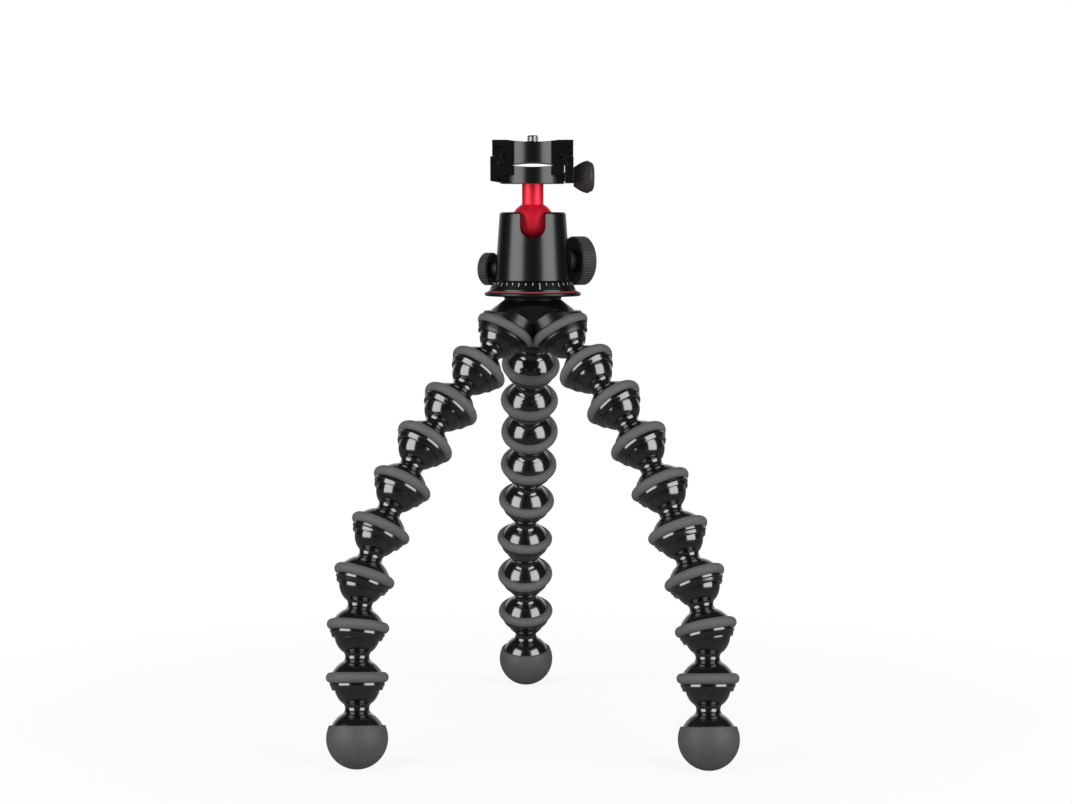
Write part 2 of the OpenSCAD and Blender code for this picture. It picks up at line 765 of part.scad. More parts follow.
module clamp_screw() {
    screw_in = jaw_x + jaw_w - clamp_screw_x;
    color("silver") at_clamp_knob() translate([0, 0, -screw_in])
        cylinder(d = clamp_screw_d, h = screw_in + clamp_knob_l * 0.6);
}

// Right edge of the plate's front cross-section: dovetail below and straight side above
function plate_edge() = [
    [dovetail_w / 2, 0], [dovetail_w / 2, dovetail_foot], [dovetail_neck, dovetail_v],
    [dovetail_neck, dovetail_h], [plate_w / 2, dovetail_h], [plate_w / 2, dovetail_h + plate_h]];

// The whole cross-section, with the left edge as a mirror image of the right
module plate_section() {
    edge = plate_edge();
    polygon(concat(edge, [for (i = [len(edge) - 1:-1:0]) [-edge[i].x, edge[i].y]]));
}

// Wedge-shaped grooves in the plate's ends, cut in from its front and back faces
module end_grooves() {
    for (face = [-1, 1]) translate([0, face * clamp_depth / 2, plate_z]) rotate([90, 0, 0])
        linear_extrude(2 * groove_depth, center = true) for (end = [-1, 1]) for (g = plate_grooves)
            polygon([[end * (g[0] + 1), g[1]], [end * g[3].x, g[3].y], [end * (g[0] + 1), g[2]]]);
}

// Quick-release plate: grooved ends, round boss, dished top and arched underside
module plate() {
    color("#1d1d1f") translate([0, 0, head_z]) difference() {
        intersection() {
            translate([0, 0, plate_z]) linear_extrude(dovetail_h + plate_h)
                clamp_plan(plate_w / 2, plate_w / 2);
            translate([0, 0, plate_z]) through_depth() plate_section();
        }
        end_grooves();
        dip(dish_half, dish_h, plate_top);
        translate([0, 0, 2 * plate_z]) mirror([0, 0, 1]) dip(arch_half, arch_h, plate_z);
        translate([0, 0, plate_z - 1]) cylinder(r = thread_r + pin_gap, h = far);
        translate([0, 0, plate_z - 1])
            cylinder(r = camera_head_r + pin_gap, h = arch_h + 1 + camera_head_h + pin_gap);
    }
}

// Camera screw: slotted head, thin shank that keeps it captive, and the thread that stands proud
module camera_screw() {
    under = plate_z + arch_h;
    top = plate_top - dish_h + camera_screw_h;
    color("silver") translate([0, 0, head_z]) difference() {
        union() {
            translate([0, 0, under]) cylinder(r = camera_head_r, h = camera_head_h);
            translate([0, 0, under]) cylinder(r = camera_shank_r, h = top - under - 1);
            translate([0, 0, top - camera_thread_l]) cylinder(r = thread_r, h = camera_thread_l);
        }
        translate([-far / 2, -coin_slot_w / 2, under - 1]) cube([far, coin_slot_w, coin_slot_h + 1]);
    }
}

hub();
hub_rings();
hub_pad();
hub_screw();
for (leg = [0:2]) {
    for (k = [1:links]) link(leg, k);
    foot_link(leg);
    foot(leg);
}
pan_base();
base_bush();
pan_clip();
housing();
ball_stem();
pressure_cup();
lock_knob();
lock_stud();
pan_knob();
pan_stud();
clamp_body();
clamp_bolt();
guide_pins();
clamp_jaw();
clamp_knob();
clamp_screw();
plate();
camera_screw();
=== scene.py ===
"""Flexible leg tripod: gloss black ball links with grey grip rings, round rubber feet, a hub with a
red friction pad, a black ball head with a red ball, and a quick-release clamp with its plate."""
import json

import bmesh
import bpy
import numpy as np
from mathutils import Matrix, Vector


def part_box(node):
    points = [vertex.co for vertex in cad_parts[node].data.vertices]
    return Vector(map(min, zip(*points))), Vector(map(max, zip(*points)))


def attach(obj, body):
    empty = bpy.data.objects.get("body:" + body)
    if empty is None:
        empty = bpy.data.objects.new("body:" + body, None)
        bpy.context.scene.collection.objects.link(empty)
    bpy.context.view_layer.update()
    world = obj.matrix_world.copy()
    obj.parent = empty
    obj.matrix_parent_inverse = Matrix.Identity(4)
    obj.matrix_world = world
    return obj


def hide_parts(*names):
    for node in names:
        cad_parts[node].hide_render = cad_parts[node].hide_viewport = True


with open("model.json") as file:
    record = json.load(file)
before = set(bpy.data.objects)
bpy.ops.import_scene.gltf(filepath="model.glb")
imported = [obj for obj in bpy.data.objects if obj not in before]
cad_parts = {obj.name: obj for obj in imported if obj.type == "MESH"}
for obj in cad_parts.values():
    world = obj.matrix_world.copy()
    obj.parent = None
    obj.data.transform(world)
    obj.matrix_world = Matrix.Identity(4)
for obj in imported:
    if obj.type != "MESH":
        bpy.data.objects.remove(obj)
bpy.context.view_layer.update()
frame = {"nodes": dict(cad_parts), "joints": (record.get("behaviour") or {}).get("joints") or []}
joints = {joint["name"]: joint for joint in frame["joints"]}
scene = bpy.context.scene
scene.view_settings.view_transform = "Standard"

# Camera
# A long lens about a metre and a third in front of the tripod, a little above the hub, tipped down by
# four and a half degrees.
camera_data = bpy.data.cameras.new("camera")
camera_data.sensor_width = 36.0
camera_data.lens = 82.37
camera_data.clip_end = 50.0
camera = bpy.data.objects.new("camera", camera_data)
camera.location = (0.0018, -1.3641, 0.2917)
camera.rotation_euler = (np.radians(90.0 - 4.424), 0.0, 0.0)
scene.collection.objects.link(camera)
scene.camera = camera

# Studio
# Two broad softboxes stand in front, to the left and right, and put a bar of light on each ball; a
# weak lamp above only softens the shadows. The backdrop is white, and reflections see it straight
# behind the tripod, in a room that is dark everywhere else.
for side in (-1, 1):
    softbox = bpy.data.lights.new("softbox", "AREA")
    softbox.shape = "RECTANGLE"
    softbox.size = 1.2
    softbox.size_y = 1.3
    softbox.energy = 21.0
    lamp = bpy.data.objects.new("softbox", softbox)
    lamp.location = (side * 1.15, -0.85, 0.66)
    lamp.rotation_euler = (np.radians(82.0), 0.0, side * np.radians(53.5))
    scene.collection.objects.link(lamp)
overhead = bpy.data.lights.new("overhead", "AREA")
overhead.shape = "RECTANGLE"
overhead.size = 1.6
overhead.size_y = 1.0
overhead.energy = 6.0
lamp = bpy.data.objects.new("overhead", overhead)
lamp.location = (0.0, 0.25, 1.7)
lamp.visible_glossy = False
scene.collection.objects.link(lamp)

room = bpy.data.worlds.new("white_room")
room.use_nodes = True
nodes = room.node_tree.nodes
links = room.node_tree.links
background = nodes["Background"]
background.inputs["Color"].default_value = (1.0, 1.0, 1.0, 1.0)
seen = nodes.new("ShaderNodeLightPath")
way = nodes.new("ShaderNodeTexCoord")
parts = nodes.new("ShaderNodeSeparateXYZ")
backdrop = nodes.new("ShaderNodeMapRange")
backdrop.inputs["From Min"].default_value = 0.6
backdrop.inputs["From Max"].default_value = 1.0
backdrop.inputs["To Min"].default_value = 0.03
backdrop.inputs["To Max"].default_value = 0.8
white = nodes.new("ShaderNodeMix")
white.data_type = "FLOAT"
white.inputs["B"].default_value = 1.0
links.new(way.outputs["Generated"], parts.inputs["Vector"])
links.new(parts.outputs["Y"], backdrop.inputs["Value"])
links.new(backdrop.outputs["Result"], white.inputs["A"])
links.new(seen.outputs["Is Camera Ray"], white.inputs["Factor"])
links.new(white.outputs["Result"], background.inputs["Strength"])
scene.world = room

# Floor
# Plain white board that keeps a soft shadow under the feet and runs out of sight on every side. To
# the eye it is nearly all its own white, wholly so further out; in reflections that white is dimmed,
# as on a board in shade.
FLOOR_WHITE = 0.9
FLOOR_DIM = 0.1
SHADOW_NEAR = 0.15
SHADOW_FAR = 0.45
FLOOR_HALF = 6.0
floor_mesh = bpy.data.meshes.new("floor")
corners = FLOOR_HALF * np.array([[-1, -1, 0], [1, -1, 0], [1, 1, 0], [-1, 1, 0]], float)
floor_mesh.from_pydata(corners, [], [(0, 1, 2, 3)])
floor = bpy.data.objects.new("floor", floor_mesh)
scene.collection.objects.link(floor)
board = bpy.data.materials.new("white_board")
board.use_nodes = True
nodes = board.node_tree.nodes
links = board.node_tree.links
paint = nodes["Principled BSDF"]
paint.inputs["Base Color"].default_value = (0.85, 0.85, 0.85, 1.0)
paint.inputs["Roughness"].default_value = 0.85
seen = nodes.new("ShaderNodeLightPath")
shown = nodes.new("ShaderNodeMath")
shown.operation = "MAXIMUM"
share = nodes.new("ShaderNodeMath")
share.operation = "MULTIPLY"
place = nodes.new("ShaderNodeTexCoord")
reach = nodes.new("ShaderNodeVectorMath")
reach.operation = "LENGTH"
whiter = nodes.new("ShaderNodeMapRange")
whiter.inputs["From Min"].default_value = SHADOW_NEAR
whiter.inputs["From Max"].default_value = SHADOW_FAR
whiter.inputs["To Min"].default_value = FLOOR_WHITE
level = nodes.new("ShaderNodeMix")
level.data_type = "FLOAT"
level.inputs["A"].default_value = FLOOR_DIM
level.inputs["B"].default_value = 1.0
glow = nodes.new("ShaderNodeEmission")
both = nodes.new("ShaderNodeMixShader")
links.new(seen.outputs["Is Camera Ray"], shown.inputs[0])
links.new(seen.outputs["Is Glossy Ray"], shown.inputs[1])
links.new(seen.outputs["Is Camera Ray"], level.inputs["Factor"])
links.new(shown.outputs["Value"], share.inputs[0])
links.new(place.outputs["Object"], reach.inputs[0])
links.new(reach.outputs["Value"], whiter.inputs["Value"])
links.new(whiter.outputs["Result"], share.inputs[1])
links.new(share.outputs["Value"], both.inputs["Fac"])
links.new(level.outputs["Result"], glow.inputs["Strength"])
links.new(paint.outputs["BSDF"], both.inputs[1])
links.new(glow.outputs["Emission"], both.inputs[2])
links.new(both.outputs["Shader"], nodes["Material Output"].inputs["Surface"])
floor_mesh.materials.append(board)

# Leg links
# Each is moulded in one piece from gloss black plastic: a ball, a hollow-sided neck and a dome
# that ends in a stepped collar and snaps over the next ball.
PITCH = 0.027
BALL_R = 0.0121
HOLLOW_R = 0.01225
SHELL_R = 0.0148
NECK_R = 0.00635
NECK_END_R = 0.0082
RING_RISE = 0.0042
RING_TUBE = 0.0028
RING_MID_R = SHELL_R - 0.001
RING_SEAT_HALF = 0.0012
SEAT_R = SHELL_R - 0.0018
SEAT_LOW = 0.00147
SEAT_TOP = 0.0069
DOME_FOOT = 0.00693
COLLAR_R = SHELL_R - 0.0003
LIP = 0.0026
LEG_NAMES = ("left", "right", "back")
LINKS_PER_LEG = 8


def arc(mid_r, mid_h, radius, start, end, count):
    """Points (radius, height) on a circle about (mid_r, mid_h), from angle start to end in degrees,
    measured from the outward direction towards up."""
    turn = np.radians(np.linspace(start, end, count))
    return np.stack([mid_r + radius * np.cos(turn), mid_h + radius * np.sin(turn)], axis=1)


def neck_curve(low, high, count):
    """Hollow circular arc between two heights: its ends are at NECK_END_R and its middle at NECK_R,
    so its radius is (half height squared + sag squared) / (2 sag)."""
    half = (high - low) / 2
    sag = NECK_END_R - NECK_R
    radius = (half * half + sag * sag) / (2 * sag)
    swing = np.degrees(np.arcsin(half / radius))
    return arc(NECK_R + radius, (low + high) / 2, radius, 180 + swing, 180 - swing, count)


def wrapped_quads(rows, steps, count):
    """Quads between neighbouring rings of steps points each: row i joins ring i to ring i + 1, and the
    last of count rings is followed by the first."""
    i, j = np.meshgrid(np.arange(rows), np.arange(steps), indexing="ij")
    up = (i + 1) % count
    on = (j + 1) % steps
    quads = np.stack([i * steps + j, i * steps + on, up * steps + on, up * steps + j], axis=-1)
    return quads.reshape(-1, 4)


def turned(name, profile, at, along, steps, closed=False):
    """A profile of (radius, height) spun about an axis: point (i, j) is at + height_i * along
    + radius_i * (cos a_j * across + sin a_j * (along x across)), with a_j = 2 pi j / steps. Across is
    square to the axis and to aside, a direction that no axis here follows."""
    aside = (0.31, 0.95, 0.05)
    along = np.asarray(along, float) / np.linalg.norm(along)
    across = np.cross(along, aside)
    across /= np.linalg.norm(across)
    turn = 2 * np.pi * np.arange(steps) / steps
    spoke = np.cos(turn)[:, None] * across + np.sin(turn)[:, None] * np.cross(along, across)
    radius, height = np.asarray(profile).T
    points = np.asarray(at, float) + height[:, None, None] * along + radius[:, None, None] * spoke
    rows = len(radius) if closed else len(radius) - 1
    return grid_piece(name, points.reshape(-1, 3), wrapped_quads(rows, steps, len(radius)))


def grid_piece(name, points, faces):
    """Mesh object from a grid's points and quads: doubled points at poles and seams are merged, and
    edges that turn by more than 35 degrees stay sharp."""
    mesh = bpy.data.meshes.new(name)
    mesh.from_pydata(points.tolist(), [], faces.tolist())
    shell = bmesh.new()
    shell.from_mesh(mesh)
    bmesh.ops.remove_doubles(shell, verts=shell.verts, dist=1e-6)
    shell.to_mesh(mesh)
    shell.free()
    mesh.shade_smooth()
    mesh.set_sharp_from_angle(angle=np.radians(35.0))
    piece = bpy.data.objects.new(name, mesh)
    scene.collection.objects.link(piece)
    return piece


def grain_group():
    """Shared surface grain on Object coordinates: Fine is close-set noise and Broad a slow patchiness,
    both from 0 to 1, at the given number of grains per metre."""
    tree = bpy.data.node_groups.new("surface_grain", "ShaderNodeTree")
    tree.interface.new_socket("Grains", in_out="INPUT", socket_type="NodeSocketFloat")
    tree.interface.new_socket("Fine", in_out="OUTPUT", socket_type="NodeSocketFloat")
    tree.interface.new_socket("Broad", in_out="OUTPUT", socket_type="NodeSocketFloat")
    entry = tree.nodes.new("NodeGroupInput")
    leave = tree.nodes.new("NodeGroupOutput")
    place = tree.nodes.new("ShaderNodeTexCoord")
    fine = tree.nodes.new("ShaderNodeTexNoise")
    fine.inputs["Detail"].default_value = 3.0
    broad = tree.nodes.new("ShaderNodeTexNoise")
    broad.inputs["Scale"].default_value = 70.0
    broad.inputs["Detail"].default_value = 2.0
    tree.links.new(place.outputs["Object"], fine.inputs["Vector"])
    tree.links.new(place.outputs["Object"], broad.inputs["Vector"])
    tree.links.new(entry.outputs["Grains"], fine.inputs["Scale"])
    tree.links.new(fine.outputs["Fac"], leave.inputs["Fine"])
    tree.links.new(broad.outputs["Fac"], leave.inputs["Broad"])
    return tree


surface_grain = grain_group()


def grained(name, dark, light, rough, grains, bump, metal=0.0, ease=0.0):
    """Principled material whose colour runs from dark to light with the broad patches, whose roughness
    runs between the two values of rough with the fine grain, and whose bump is the fine grain. Where
    ease is more than nothing, sharp edges shade as if rounded to that radius."""
    material = bpy.data.materials.new(name)
    material.use_nodes = True
    nodes = material.node_tree.nodes
    links = material.node_tree.links
    surface = nodes["Principled BSDF"]
    surface.inputs["Metallic"].default_value = metal
    grain = nodes.new("ShaderNodeGroup")
    grain.node_tree = surface_grain
    grain.inputs["Grains"].default_value = grains
    tint = nodes.new("ShaderNodeMix")
    tint.data_type = "RGBA"
    tint.inputs["A"].default_value = (*dark, 1.0)
    tint.inputs["B"].default_value = (*light, 1.0)
    polish = nodes.new("ShaderNodeMapRange")
    polish.inputs["To Min"].default_value = rough[0]
    polish.inputs["To Max"].default_value = rough[1]
    relief = nodes.new("ShaderNodeBump")
    relief.inputs["Strength"].default_value = bump
    relief.inputs["Distance"].default_value = 0.0002
    links.new(grain.outputs["Broad"], tint.inputs["Factor"])
    links.new(grain.outputs["Fine"], polish.inputs["Value"])
    links.new(grain.outputs["Fine"], relief.inputs["Height"])
    links.new(tint.outputs["Result"], surface.inputs["Base Color"])
    links.new(polish.outputs["Result"], surface.inputs["Roughness"])
    links.new(relief.outputs["Normal"], surface.inputs["Normal"])
    if ease:
        rounded = nodes.new("ShaderNodeBevel")
        rounded.samples = 6
        rounded.inputs["Radius"].default_value = ease
        links.new(rounded.outputs["Normal"], relief.inputs["Normal"])
    return material


gloss_plastic = grained("gloss_plastic", (0.003, 0.003, 0.0034), (0.006, 0.006, 0.0065),
                        (0.12, 0.18), 900.0, 0.008)
gloss = gloss_plastic.node_tree.nodes["Principled BSDF"]
gloss.inputs["IOR"].default_value = 1.65
gloss.inputs["Coat Weight"].default_value = 1.0
gloss.inputs["Coat Roughness"].default_value = 0.14
gloss.inputs["Coat IOR"].default_value = 1.65
grip_rubber = grained("grip_rubber", (0.085, 0.085, 0.087), (0.11, 0.11, 0.112),
                      (0.6, 0.75), 2500.0, 0.25)

dome_low = np.degrees(np.arcsin(DOME_FOOT / SHELL_R))
dome_high = np.degrees(np.arccos(NECK_END_R / SHELL_R))
dome_top = SHELL_R * np.sin(np.radians(dome_high))
ball_low = np.degrees(np.arccos(NECK_END_R / BALL_R))
ball_foot = -BALL_R * np.sin(np.radians(ball_low))
# Corners of the stepped collar from the lip up: inset from the collar, height above the socket's middle
collar_corners = np.array([
    [0.0013, -LIP], [0.0011, 0.0003 - LIP], [0.0006, -0.0007], [0.0005, -0.0005],
    [0.0002, -0.0002], [0.0, 0.0], [0.0, 0.0012], [0.0002, 0.00145]])
link_profile = np.concatenate([
    arc(0, -PITCH, HOLLOW_R, 90, -np.degrees(np.arcsin(LIP / HOLLOW_R)), 14),
    collar_corners * [-1, 1] + [COLLAR_R, -PITCH],
    [[SEAT_R, SEAT_LOW - PITCH], [SEAT_R, SEAT_TOP - PITCH]],
    arc(0, -PITCH, SHELL_R, dome_low, dome_high, 16),
    neck_curve(dome_top - PITCH, ball_foot, 14)[1:-1],
    arc(0, 0, BALL_R, -ball_low, 90, 28),
])
ring_swing = np.degrees(np.arccos((SEAT_R - RING_MID_R) / RING_TUBE))
ring_profile = np.concatenate([
    arc(RING_MID_R, 0, RING_TUBE, -ring_swing, ring_swing, 24),
    [[SEAT_R, RING_SEAT_HALF], [SEAT_R, -RING_SEAT_HALF]],
])
for leg in LEG_NAMES:
    for k in range(1, LINKS_PER_LEG + 1):
        ball = np.array(joints[f"{leg}_bend_{k}"]["pos_m"])
        hang = np.array(joints[f"{leg}_bend_{k + 1}"]["pos_m"]) - ball
        up = -hang / np.linalg.norm(hang)
        link = turned(f"{leg}_moulded_link_{k}", link_profile, ball, up, steps=64)
        link.data.materials.append(gloss_plastic)
        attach(link, f"{leg}_{k}")
        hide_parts(f"{leg}_link_{k}")
        ring_mid = ball + hang + RING_RISE * up
        ring = turned(f"{leg}_grip_ring_{k}", ring_profile, ring_mid, up, steps=80, closed=True)
        ring.data.materials.append(grip_rubber)
        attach(ring, f"{leg}_{k}")

# Foot links and feet
# The last link of a leg ends in a plug of the same plastic, and a soft round rubber foot with a
# rolled rim is pushed onto it; the underside is pressed flat where it stands.
FOOT_REACH = 0.0276
FOOT_R = 0.0163
FOOT_RIM = 0.0068
FOOT_FLAT = 0.0158
DOME_RISE = 0.0004
PLUG_FLAT = 0.004
PLUG_CLEAR = 0.00006
RIM_ROLL = 0.0007
RIM_CLEAR = 0.00008
RIM_EASE = 0.0002
RIM_HOLLOW = 0.0004
RIM_DEPTH = 0.0014
foot_rubber = grained("foot_rubber", (0.062, 0.06, 0.059), (0.078, 0.076, 0.075),
                      (0.5, 0.66), 2200.0, 0.22)
plug_mid = DOME_RISE - FOOT_REACH
foot_link_profile = np.concatenate([
    [[0, -FOOT_REACH - PLUG_FLAT]],
    arc(0, plug_mid, SHELL_R, -np.degrees(np.arcsin((PLUG_FLAT + DOME_RISE) / SHELL_R)), dome_high, 26),
    neck_curve(plug_mid + dome_top, ball_foot, 18)[1:-1],
    arc(0, 0, BALL_R, -ball_low, 90, 28),
])
rim_angle = np.degrees(np.arcsin((FOOT_RIM - RIM_ROLL) / FOOT_R))
rim_r = FOOT_R * np.cos(np.radians(rim_angle))
inner_r = np.sqrt(SHELL_R ** 2 - (FOOT_RIM - DOME_RISE) ** 2) + RIM_CLEAR
rim_top = FOOT_RIM - FOOT_REACH
foot_profile = np.concatenate([
    arc(0, -FOOT_REACH, FOOT_R, -90, rim_angle, 72),
    arc(rim_r - RIM_ROLL, rim_top - RIM_ROLL, RIM_ROLL, 12, 90, 8),
    [[inner_r + RIM_EASE, rim_top], [inner_r, rim_top - RIM_EASE],
     [inner_r + RIM_HOLLOW, rim_top - RIM_DEPTH]],
    arc(0, plug_mid, SHELL_R + PLUG_CLEAR, 15, -17, 12),
    [[0, -FOOT_REACH - PLUG_FLAT - PLUG_CLEAR]],
])
for leg in LEG_NAMES:
    ball = np.array(joints[f"{leg}_bend_{LINKS_PER_LEG + 1}"]["pos_m"])
    low, high = (np.array(corner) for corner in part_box(f"{leg}_foot"))
    up = ball - [*(low + high)[:2] / 2, FOOT_FLAT]
    plug = turned(f"{leg}_plug_link", foot_link_profile, ball, up, steps=64)
    plug.data.materials.append(gloss_plastic)
    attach(plug, f"{leg}_foot")
    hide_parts(f"{leg}_foot_link")
    foot = turned(f"{leg}_round_foot", foot_profile, ball, up, steps=96)
    place = np.empty(3 * len(foot.data.vertices))
    foot.data.vertices.foreach_get("co", place)
    place[2::3] = np.maximum(place[2::3], 0.0)
    foot.data.vertices.foreach_set("co", place)
    foot.data.materials.append(foot_rubber)
    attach(foot, f"{leg}_foot")
    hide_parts(f"{leg}_foot")

# Hub
# One satin black moulding with three sockets under a thin flange; a red rubber pad is let into the
# flange round the steel screw, and each socket has a grip ring like the links'.
pad_rubber = grained("pad_rubber", (0.3, 0.035, 0.04), (0.38, 0.05, 0.055), (0.55, 0.7), 2600.0, 0.2)
bright_steel = grained("bright_steel", (0.42, 0.42, 0.42), (0.52, 0.52, 0.52),
                       (0.28, 0.4), 3000.0, 0.05, metal=1.0)
hub_plastic = grained("satin_hub_plastic", (0.003, 0.003, 0.0033), (0.006, 0.006, 0.0064),
                      (0.24, 0.32), 1600.0, 0.03, ease=0.0007)
hub_plastic.node_tree.nodes["Principled BSDF"].inputs["IOR"].default_value = 1.5


def finish_node(name, material):
    """A CAD node shown as it is, with one finish."""
    node = frame["nodes"][name]
    node.data.materials.clear()
    node.data.materials.append(material)


finish_node("hub", hub_plastic)
finish_node("hub_rings", grip_rubber)
finish_node("hub_pad", pad_rubber)

# Hub screw
# Steel screw of the standard camera size: its hexagonal head is moulded into the hub and its thread
# stands up through the pad.
THREAD_R = 0.003175
THREAD_ROOT = 0.00265
THREAD_PITCH = 0.00127
THREAD_ROWS = 14
TIP_LENGTH = 0.0007
TIP_SLOPE = 1.1
HUB_SCREW_TOP = 0.0049
HUB_SCREW_FOOT = -0.006
HEX_FOOT = -0.009
HEX_R = 0.00617


def threaded(name, low, high, at, steps=72):
    """Screw thread up the z axis between two heights: the radius swings between root and crest as a
    clipped wave of (height / pitch - turn / 2 pi), and the top narrows to a cone."""
    rise = np.linspace(low, high, int((high - low) / THREAD_PITCH * THREAD_ROWS) + 2)
    turn = 2 * np.pi * np.arange(steps) / steps
    wave = np.cos(2 * np.pi * (rise[:, None] / THREAD_PITCH) - turn[None, :])
    ridge = np.clip(0.5 + 0.8 * wave, 0.0, 1.0)
    radius = THREAD_ROOT + (THREAD_R - THREAD_ROOT) * ridge
    taper = THREAD_R - np.clip(rise - (high - TIP_LENGTH), 0.0, None) * TIP_SLOPE
    radius = np.minimum(radius, taper[:, None])
    radius = np.concatenate([np.zeros((1, steps)), radius, np.zeros((1, steps))])
    rise = np.concatenate([[low], rise, [high]])
    height = np.broadcast_to(rise[:, None], radius.shape)
    points = np.stack([radius * np.cos(turn), radius * np.sin(turn), height], axis=-1)
    faces = wrapped_quads(len(rise) - 1, steps, len(rise))
    return grid_piece(name, points.reshape(-1, 3) + np.asarray(at, float), faces)


head_z = joints["pan"]["pos_m"][2]
stud = threaded("hub_screw_thread", HUB_SCREW_FOOT, HUB_SCREW_TOP, (0, 0, head_z))
stud.data.materials.append(bright_steel)
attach(stud, "hub")
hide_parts("hub_screw")
hex_profile = [[0, HEX_FOOT], [HEX_R, HEX_FOOT], [HEX_R, HUB_SCREW_FOOT], [0, HUB_SCREW_FOOT]]
stud_head = turned("hub_screw_head", hex_profile, (0, 0, head_z), (0, 0, 1), steps=6)
stud_head.data.materials.append(bright_steel)
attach(stud_head, "hub")

# Head
# The base, the housing and the clamp are turned and milled from aluminium and anodised satin black;
# the ball and its stem are anodised red. A brass bush and a spring clip are inside.
black_anodised = grained("black_anodised", (0.0018, 0.0017, 0.0016), (0.0034, 0.0033, 0.0031),
                         (0.22, 0.3), 2600.0, 0.05, ease=0.0003)
black_anodised.node_tree.nodes["Principled BSDF"].inputs["IOR"].default_value = 1.55
red_anodised = grained("red_anodised", (0.74, 0.008, 0.03), (0.84, 0.012, 0.042),
                       (0.36, 0.44), 2600.0, 0.04, metal=0.4)
brass = grained("turned_brass", (0.6, 0.44, 0.18), (0.7, 0.52, 0.22), (0.25, 0.35), 2600.0, 0.05, metal=1.0)
acetal = grained("black_acetal", (0.02, 0.02, 0.02), (0.03, 0.03, 0.03), (0.35, 0.45), 1500.0, 0.04)
finish_node("pan_base", black_anodised)
finish_node("housing", black_anodised)
finish_node("base_bush", brass)
finish_node("pan_clip", bright_steel)
finish_node("ball_stem", red_anodised)
finish_node("pressure_cup", acetal)

# Panning scale
# Fine white marks are printed on the slope of the base every ten degrees, longer every thirty, with
# a nought under the zero mark, a little to the right of the front.
SCALE_TOP = (0.02155, 0.0051)
SCALE_FOOT = (0.02385, 0.0009)
ZERO_TURN = np.radians(10.0)
MARK_STEP = np.radians(10.0)
MARK_START = 0.00025
MARK_SHORT = 0.0016
MARK_LONG = 0.0024
MARK_WIDTH = 0.00032
PRINT_THICK = 0.00004
NOUGHT_DOWN = 0.0035
NOUGHT_HALF_W = 0.00042
NOUGHT_HALF_H = 0.00062
NOUGHT_LINE = 0.0002


def on_slope(turn, down, lift):
    """Points on the base's sloping rim: turn is the angle from the front towards the right, down the
    distance below the slope's upper edge, and lift the height above the surface."""
    slope = np.array(SCALE_FOOT) - np.array(SCALE_TOP)
    slope /= np.linalg.norm(slope)
    radius = SCALE_TOP[0] + down * slope[0] - lift * slope[1]
    height = head_z + SCALE_TOP[1] + down * slope[1] + lift * slope[0]
    return np.stack([radius * np.sin(turn), -radius * np.cos(turn), height * np.ones_like(radius)], axis=-1)


def printed_marks(name, turns, lengths):
    """One thin closed block per mark: its eight corners are the two edges, the two ends and the two
    faces of a strip laid down the slope."""
    corner = np.array([[e, d, f] for f in (0, 1) for e, d in ((0, 0), (1, 0), (1, 1), (0, 1))], float)
    turn = turns[:, None] + (corner[:, 0] - 0.5) * MARK_WIDTH / SCALE_TOP[0]
    down = MARK_START + corner[:, 1] * lengths[:, None]
    lift = (corner[:, 2] * 2 - 1) * PRINT_THICK + 0 * turn
    points = on_slope(turn, down, lift).reshape(-1, 3)
    block = np.array([[0, 1, 2, 3], [7, 6, 5, 4], [4, 5, 1, 0], [5, 6, 2, 1], [6, 7, 3, 2], [7, 4, 0, 3]])
    faces = block[None] + 8 * np.arange(len(turns))[:, None, None]
    return grid_piece(name, points, faces.reshape(-1, 4))


def printed_nought(name, steps=48):
    """An oval band on the slope: four edges (outer and inner, under and over) swept round an ellipse."""
    sweep = 2 * np.pi * np.arange(steps) / steps
    inset = np.array([0, 0, NOUGHT_LINE, NOUGHT_LINE])[:, None]
    lift = PRINT_THICK * np.array([-1, 1, 1, -1])[:, None] + 0 * sweep
    turn = ZERO_TURN + (NOUGHT_HALF_W - inset) * np.cos(sweep) / SCALE_TOP[0]
    down = NOUGHT_DOWN + (NOUGHT_HALF_H - inset) * np.sin(sweep)
    points = on_slope(turn, down, lift).reshape(-1, 3)
    outward = np.roll(wrapped_quads(4, steps, 4)[:, ::-1], 1, axis=1)
    return grid_piece(name, points, outward)


white_print = grained("white_print", (0.5, 0.5, 0.5), (0.62, 0.62, 0.62), (0.5, 0.6), 2500.0, 0.05)
tens = np.arange(36)
mark_lengths = np.where(tens % 3 == 0, MARK_LONG, MARK_SHORT)
marks = printed_marks("scale_marks", ZERO_TURN + MARK_STEP * tens, mark_lengths)
nought = printed_nought("scale_nought")
for mark in (marks, nought):
    mark.data.materials.append(white_print)
    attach(mark, "head_base")

# Lock knobs
# Two ribbed knobs of dark rubberised plastic, on steel studs, clamp the ball and the panning base.
knob_rubber = grained("knob_rubber", (0.024, 0.021, 0.022), (0.034, 0.031, 0.032), (0.5, 0.64), 2400.0, 0.2)
for name in ("lock_knob", "pan_knob"):
    finish_node(name, knob_rubber)
for name in ("lock_stud", "pan_stud"):
    finish_node(name, bright_steel)

# Clamp and plate
# Milled black aluminium with eased edges; the plate's dovetail is held between the fixed jaw on the
# left, whose upper lip is made here, and the jaw that the side knob moves. The bolt, pins and screw
# are steel.
DOVETAIL_HALF = 0.0191
JAW_FOOT = 0.0013
JAW_SLOPE = 0.0021
JAW_RISE = 0.0047
LIP_SEAT = 0.0024
LIP_OVERLAP = 0.0001


